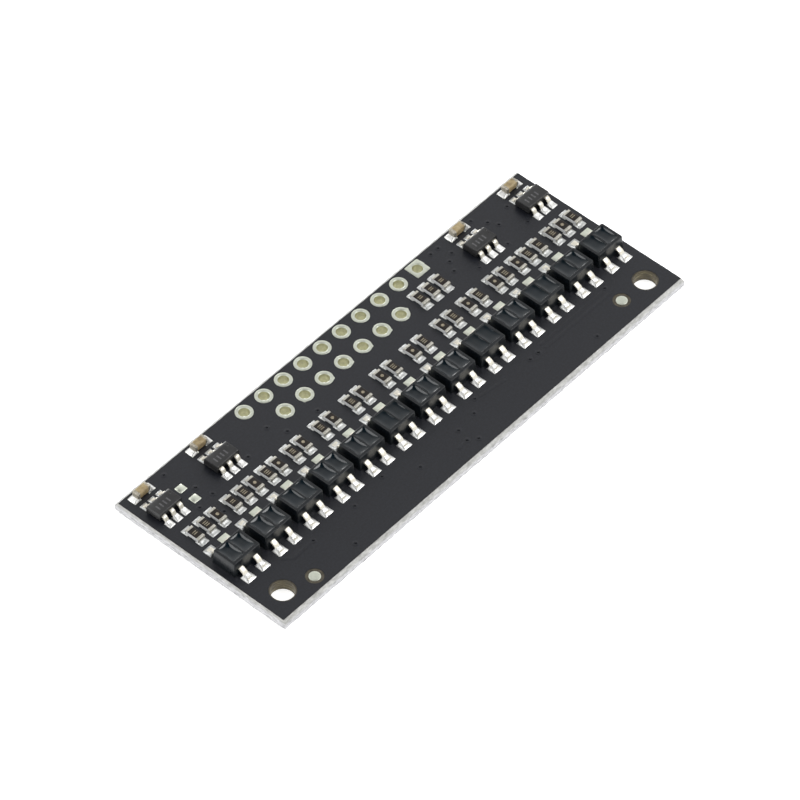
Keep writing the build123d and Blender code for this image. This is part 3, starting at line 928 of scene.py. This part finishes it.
def make_window_fill(name, node, side):
    """Dark epoxy in one window of every sensor, dished: it climbs steeply just before each wall."""
    shell = Shell()
    wide, long = [side - 0.002 for side in WINDOW]
    a, b = wide / 2, long / 2
    for number, x in enumerate(SENSOR_X):
        climb = CLIMB[number][(side + 1) // 2]
        depth = 0.06 + 0.09 * climb
        tilt = 0.02 * noise.noise(Vector((x, side * 3.1, 0.7)))
        place = standing(x + side * WINDOW_X, SENSOR_Y + WINDOW_SHIFT)
        outline = rounded(wide, long, WINDOW_CORNER, 4, 3)
        rings = [raised(place, outline, WINDOW_FLOOR)]
        for inset in DISH_STEPS:
            corner = min(a - inset - 0.005, WINDOW_CORNER + inset)
            ring = rounded(wide - 2 * inset, long - 2 * inset, corner, 4, 3)
            placed = []
            for px, py in ring:
                hollow = (1 - abs(px / a) ** 3.4) * (1 - abs(py / b) ** (4.0 if py > 0 else 3.0))
                placed.append(place(px, py, min(BRIM - depth * hollow + tilt * px, BRIM)))
            rings.append(placed)
        shell.loft(rings)
    make_piece(name, shell, [EPOXY], "dark_epoxy", node, sharp=70.0)


def make_sensor_leads(number, x):
    shell = Shell()
    for sx in (-1, 1):
        for turn in (0, 180):
            place = standing(x, SENSOR_Y, turn)
            path = REAR_RIGHT_PATH if (sx, turn) == (1, 0) else SENSOR_LEAD_PATH
            ribbon(shell, path, SENSOR_LEAD_WIDTH, LEAD_THICKNESS, place, shift=sx * SENSOR_LEAD_X)
    make_piece(f"leads_{number:02d}", shell, [LEAD], "sensor_lead", f"sensor_leads_{number:02d}")


def make_sensor_solder():
    """Full joints in front and at the rear left; the rear right lands are only skimmed with tin."""
    shell = Shell()
    across, along = SENSOR_LAND_AT
    for number, x in enumerate(SENSOR_X):
        for sx in (-1, 1):
            seed = number * 4 + sx
            front = standing(x + sx * across, SENSOR_Y - along, 180)
            full = wetted_foot(SENSOR_LAND, 0.27, 0.045, seed + 0.3, sag=1.1)
            mound(shell, front, SENSOR_LAND, 0.03, full, corner=0.02)
            rear = standing(x + sx * across, SENSOR_Y + along)
            if sx < 0:
                foot = wetted_foot(SENSOR_LAND, 0.16, 0.06, seed + 2.1, 0.05)
                # the rear left joints take the darker solder: painted shade behind the housing
                mound(shell, rear, SENSOR_LAND, 0.03, foot, corner=0.06, slot=2)
            else:
                skim = wetted_foot(SENSOR_LAND, 0.1, 0.012, seed + 4.7, 0.002)
                mound(shell, rear, SENSOR_LAND, 0, skim, corner=0.02, slot=1)
    make_piece("sensor_joints", shell, [SOLDER, TIN, SHADED_SOLDER], "solder", "sensor_solder")


# ---- driver chips ----

CHIP_KNEE = [(0.5, 0.52), (0.83, 0.52), (1.02, 0.44)]
CHIP_LEAD_PATH = bent([*CHIP_KNEE, (1.2, 0.1), (1.3, 0.078), (1.45, 0.075)], 0.09)
CHIP_LEAD_WIDTH = 0.46
CHIP_TOP = 0.92
# section of the body from its base up: height, half length, front, rear, corner radius
CHIP_SECTION = [
    (0.06, 1.31, -0.74, 0.74, 0.04), (0.08, 1.34, -0.76, 0.76, 0.05),
    (0.45, 1.445, -0.805, 0.805, 0.05), (0.51, 1.445, -0.805, 0.805, 0.05),
    (0.82, 1.365, -0.785, 0.785, 0.05), (0.85, 1.358, -0.783, 0.775, 0.05),
    (0.9, 1.335, -0.775, 0.67, 0.045), (CHIP_TOP, 1.305, -0.745, 0.62, 0.04),
]
# pin-1 dimple: its place, then the radius and depth of each of its rings
DIMPLE = (1.1, 0.34)
DIMPLE_RINGS = ((0.13, 0.0), (0.115, 0.014), (0.08, 0.024))
# generic laser mark: the first bar's place, the step between bars and their size
BAR_AT = (-0.87, -0.1)
BAR_STEP = 0.43
BAR_SIZE = (0.15, 0.54)


def make_chip(number, x, y):
    """Six-lead package: draft from its waist, a bevel along the rear of its top, a pin-1 dimple."""
    shell = Shell()
    place = standing(x, y)
    rings = []
    for z, half_x, front, rear, corner in CHIP_SECTION:
        outline = rounded(2 * half_x, rear - front, corner, 3)
        rings.append(raised(place, moved(outline, 0.0, (front + rear) / 2), z))
    shell.loft(rings, 0, top=False)
    dimple = [circle(x + DIMPLE[0], y + DIMPLE[1], radius, 20) for radius, _ in DIMPLE_RINGS]
    shell.pierced(plan(rings[-1]), dimple[:1], lambda px, py: TOP + CHIP_TOP)
    bowl = [at_z(ring, TOP + CHIP_TOP - depth) for ring, (_, depth) in zip(dimple, DIMPLE_RINGS)]
    shell.loft(bowl, 0, bottom=False)
    for k in range(4):
        bar = standing(x + BAR_AT[0] + BAR_STEP * k, y + BAR_AT[1])
        outline = rounded(*BAR_SIZE, 0.03, 2)
        shell.loft([raised(bar, outline, CHIP_TOP + z) for z in (-0.01, 0.002)], 1)
    make_piece(f"chip_{number}", shell, [CHIP, LASER], "chip_plastic", f"driver_chip_{number}", sharp=28.0)


def make_chip_leads(number, x, y):
    shell = Shell()
    for dx in CHIP_LEAD_X:
        for turn in (0, 180):
            place = standing(x, y, turn)
            ribbon(shell, CHIP_LEAD_PATH, CHIP_LEAD_WIDTH, LEAD_THICKNESS, place, 0.04, shift=dx)
    make_piece(f"chip_leads_{number}", shell, [LEAD], "chip_lead", f"driver_chip_leads_{number}")


def make_chip_solder():
    shell = Shell()
    for number, (x, y) in enumerate(CHIPS):
        for dx in CHIP_LEAD_X:
            for s, turn in ((1, 0), (-1, 180)):
                place = standing(x + dx, y + s * CHIP_LAND_Y, turn)
                # the rear joints take the darker solder: painted shade behind the chip body
                peak, lumps, slot = (0.1, 0.035, 1) if s > 0 else (0.21, 0.02, 0)
                foot = wetted_foot(CHIP_LAND, peak, 0.045, number * 9 + dx * 3 + s, lumps, 0.16)
                mound(shell, place, CHIP_LAND, 0.03, foot, corner=0.06, slot=slot)
    make_piece("chip_joints", shell, [SOLDER, SHADED_SOLDER], "solder", "chip_solder")


# ---- capacitors and resistors ----

def rounded_box(shell, place, centre, size, radius, warp=None):
    """Box with rounded edges, its faces gridded so that `warp` can make them uneven."""
    half = [s / 2 for s in size]
    radius = min(radius, *half)
    levels = []
    for h in half:
        arc = [h - radius * (1 - math.tan(math.radians(a))) for a in (0.0, 22.5)]
        flat = [(h - radius) * k / 3 for k in (-2, -1, 0, 1, 2)]
        levels.append(sorted({-h, *[-v for v in arc], *flat, *arc, h}))
    for axis in range(3):
        others = [a for a in range(3) if a != axis]
        rows, cols = levels[others[0]], levels[others[1]]
        for sign in (-1, 1):
            points = []
            for r in rows:
                for c in cols:
                    p = [0.0, 0.0, 0.0]
                    p[axis], p[others[0]], p[others[1]] = sign * half[axis], r, c
                    core = [max(-(h - radius), min(h - radius, v)) for v, h in zip(p, half)]
                    out = Vector([v - q for v, q in zip(p, core)]).normalized() * radius
                    q = [centre[k] + core[k] + out[k] for k in range(3)]
                    if warp:
                        q = warp(*q)
                    points.append(place(*q))
            shell.put(points, grid_faces(len(rows), len(cols)))


def make_capacitors():
    body, ends, joints = Shell(), Shell(), Shell()
    length, width, height, cap = 1.6, 0.8, 0.76, 0.36
    for number, (x, y) in enumerate(CAPACITORS):
        place = standing(x, y)

        def uneven(px, py, pz, amount=0.012, seed=number):
            n = noise.noise_vector(Vector((px * 3 + seed * 5, py * 3, pz * 3)))
            return px + amount * n.x, py + amount * n.y, max(pz + amount * n.z, 0.0)

        block = (length - 0.1, width - 0.05, height - 0.05)
        rounded_box(body, place, (0, 0, height / 2), block, 0.13, uneven)
        for s in (-1, 1):
            def cap_warp(px, py, pz):
                px, py, pz = uneven(px, py, pz, 0.02, number + 3 * s)
                if abs(px) < length / 2 - 0.2:
                    px -= s * 0.05 * noise.noise(Vector((py * 4, pz * 4, number * 3 + s)))
                return px, py, pz

            centre = (s * (length / 2 - cap / 2), 0, height / 2)
            rounded_box(ends, place, centre, (cap, width, height), 0.16, cap_warp)
            joint = standing(x + s * CAPACITOR_LAND_X, y, -90 * s)
            edge = length / 2 - CAPACITOR_LAND_X

            def climb(px, py):
                out = py - edge
                fill = 0.5 * math.exp(-max(0.0, out) / 0.16)
                if s < 0:
                    fill = 0.16 * (1 - clamp(out / 0.5)) ** 1.1
                side = math.exp(-(max(0.0, abs(px) - 0.3) / 0.14) ** 2)
                return 0.03 + fill * side + 0.008 * lump(px, py, number * 5 + s, 3.0)

            mound(joints, joint, CAPACITOR_LAND[::-1], 0.02, climb)
    make_piece("capacitor_blocks", body, [CERAMIC], "capacitor_ceramic", "capacitor_bodies", sharp=70.0)
    make_piece("capacitor_ends", ends, [CAP_END], "end_terminal", "capacitor_terminals", sharp=70.0)
    make_piece("capacitor_joints", joints, [SOLDER], "solder", "capacitor_solder")


# marks on the resistors in row order: one dot, two bars or three bars
RESISTOR_MARKS = "231231313131311313131313132312222"
RESISTOR_SIZE = (0.8, 1.6, 0.45)
RESISTOR_BAND = 0.26
PLATE = 0.04


def mark_outlines(kind):
    """Generic print on a resistor: a dot, or short bars across it."""
    if kind == "1":
        return [circle(0.0, 0.0, 0.16, 20)]
    count, gap = int(kind), 0.2
    bar = rounded(0.46, 0.08, 0.03, 2)
    return [moved(bar, 0.0, gap * (k - (count - 1) / 2)) for k in range(count)]


def make_resistors():
    body, ends, tops, marks = Shell(), Shell(), Shell(), Shell()
    width, length, height = RESISTOR_SIZE
    skew = random.Random(11)
    inner, outer = length / 2 - RESISTOR_BAND, length / 2 - PLATE / 2
    low, high = PLATE / 2, height - PLATE / 2
    end_path = bent([(inner, high), (outer, high), (outer, low), (inner, low)], 0.07)
    for (x, y), kind in zip(RESISTORS, RESISTOR_MARKS):
        turn = skew.uniform(-1.2, 1.2)
        x, y = x + skew.uniform(-0.015, 0.015), y + skew.uniform(-0.02, 0.02)
        place = standing(x, y, turn)
        rounded_box(body, place, (0, 0, height / 2), (width, length - 0.07, height - 0.07), 0.025)
        for end in (0, 180):
            turned = standing(x, y, turn + end)
            ribbon(ends, end_path, width + 0.012, PLATE + 0.02, turned, 0.02)
        stations = [(0.0, -0.02), (0.0, 0.012), (0.012, 0.024), (0.04, 0.032), (0.1, 0.037)]
        rings = []
        for inset, up in stations:
            size = [side - 2 * inset for side in (width - 0.03, length - 2 * RESISTOR_BAND + 0.05)]
            rings.append(raised(place, rounded(*size, 0.07, 3), height - 0.025 + up))
        tops.loft(rings)
        for outline in mark_outlines(kind):
            marks.loft([raised(place, outline, height + z) for z in (0.0, 0.017)])
    make_piece("resistor_slabs", body, [ALUMINA], "resistor_ceramic", "resistor_bodies")
    make_piece("resistor_ends", ends, [RESISTOR_END], "end_terminal", "resistor_terminals")
    make_piece("resistor_overcoats", tops, [GLAZE], "resistor_overcoat", "resistor_glazes")
    make_piece("resistor_marks", marks, [INK], "resistor_overcoat", sharp=40.0)


def make_resistor_solder():
    shell = Shell()
    end = RESISTOR_SIZE[1] / 2 - RESISTOR_LAND_Y
    for number, (x, y) in enumerate(RESISTORS):
        for s, turn in ((1, 0), (-1, 180)):
            place = standing(x, y + s * RESISTOR_LAND_Y, turn)

            def climb(px, py):
                out = clamp((py - end) / (RESISTOR_LAND[1] / 2 - end))
                up = 0.135 if s < 0 else 0.1
                half = 0.3 + 0.16 * out
                side = 1 - ease((abs(px) - half) / 0.12)
                skin = 0.012 + 0.02 * ease((py - end) / 0.1)
                return skin + up * (1 - out) ** 2.0 * side + 0.012 * lump(px, py, number * 3 + s, 3.4)

            mound(shell, place, RESISTOR_LAND, 0.02, climb, corner=0.03)
    # the resistor joints take the darker solder, painted shade
    make_piece("resistor_joints", shell, [SHADED_SOLDER], "solder", "resistor_solder")


# ---- stage, light, camera ----

def make_floor():
    bpy.ops.mesh.primitive_plane_add(size=6.0, location=(0, 0, -0.00003))
    floor = bpy.context.object
    floor.name = "floor"
    paper, glow = (0.85, 0.85, 0.85, 1), (1, 1, 1, 1)
    g = Graph("floor")
    g.settings(roughness=0.9, base_color=paper, emission_color=glow, emission_strength=0.75)
    floor.data.materials.append(g.material)


# brightness of the light tent from the horizon, 0, to straight overhead, 1
SKY = [(0, 1), (0.55, 1), (0.7, 0.86), (0.8, 0.7), (0.87, 0.56), (0.91, 0.22), (0.95, 0.05), (1, 0.03)]


def make_light():
    """A light tent that is dark overhead, with a softbox at each side and a low one behind."""
    world = bpy.data.worlds.new("studio")
    world.use_nodes = True
    tree = world.node_tree
    direction = tree.nodes.new("ShaderNodeTexCoord")
    split = tree.nodes.new("ShaderNodeSeparateXYZ")
    ramp = tree.nodes.new("ShaderNodeValToRGB")
    tree.links.new(direction.outputs["Generated"], split.inputs["Vector"])
    tree.links.new(split.outputs["Z"], ramp.inputs["Fac"])
    fill_ramp(ramp, [(height, (level,) * 3) for height, level in SKY])
    tree.links.new(ramp.outputs["Color"], tree.nodes["Background"].inputs["Color"])
    scene.world = world
    add_softbox("softbox_left", (-0.3, 0.43, 0.86), 0.35, 0.13, 3.0)
    add_softbox("softbox_front", (0.42, -0.37, 0.83), 0.35, 0.12, 6.5)
    add_softbox("softbox_rear", (0.5, 0.86, 0.13), 0.35, 0.09, 5.5)


def add_softbox(name, direction, distance, side, radiance):
    """Square area light that aims at the board's middle, sized by the radiance it shows."""
    light = bpy.data.lights.new(name, "AREA")
    light.shape = "SQUARE"
    light.size = side
    light.energy = radiance * math.pi * side * side
    holder = bpy.data.objects.new(name, light)
    away = Vector(direction).normalized()
    holder.location = away * distance
    holder.rotation_mode = "QUATERNION"
    holder.rotation_quaternion = away.to_track_quat("Z", "Y")
    holder.visible_camera = False
    scene.collection.objects.link(holder)


def make_camera():
    azimuth, elevation, roll = [math.radians(angle) for angle in (-49.175, 48.929, 0.941)]
    distance = 493.554
    target = Vector((-1.27, -0.573, TOP))
    back = Vector((math.sin(azimuth) * math.cos(elevation), -math.cos(azimuth) * math.cos(elevation),
                   math.sin(elevation)))
    right = Vector((0, 0, 1)).cross(back).normalized()
    up = back.cross(right)
    tilted_right = right * math.cos(roll) + up * math.sin(roll)
    tilted_up = up * math.cos(roll) - right * math.sin(roll)
    data = bpy.data.cameras.new("camera")
    data.lens = 253.94
    data.sensor_width = 36.0
    data.clip_start = 0.01
    data.clip_end = 20.0
    camera = bpy.data.objects.new("camera", data)
    turned = Matrix((tilted_right, tilted_up, back)).transposed().to_4x4()
    camera.matrix_world = Matrix.Translation((target + back * distance) * MM) @ turned
    scene.collection.objects.link(camera)
    scene.camera = camera


make_camera()
make_light()
make_floor()
scene.view_settings.view_transform = "Standard"

make_laminate()
openings = [loop for _, _, places, size in LANDS for loop in land_outlines(places, size, MASK_CLEARANCE)]
openings += [circle(x, y, FIDUCIAL_CLEAR, 40) for x, y in FIDUCIALS]
make_mask("mask_top", "solder_mask_top", TOP - SKIN, TOP, openings, 3.3)
make_mask("mask_bottom", "solder_mask_bottom", SKIN, 0.0, [], 8.1)
make_lands()
make_header()
make_fiducials()
for number, x in enumerate(SENSOR_X, start=1):
    make_housing(number, x)
    make_sensor_leads(number, x)
make_window_fill("emitter_epoxy", "emitter_windows", -1)
make_window_fill("detector_epoxy", "detector_windows", 1)
make_sensor_solder()
for number, (x, y) in enumerate(CHIPS, start=1):
    make_chip(number, x, y + CHIP_OFF_CENTRE)
    make_chip_leads(number, x, y + CHIP_OFF_CENTRE)
make_chip_solder()
make_capacitors()
make_resistors()
make_resistor_solder()
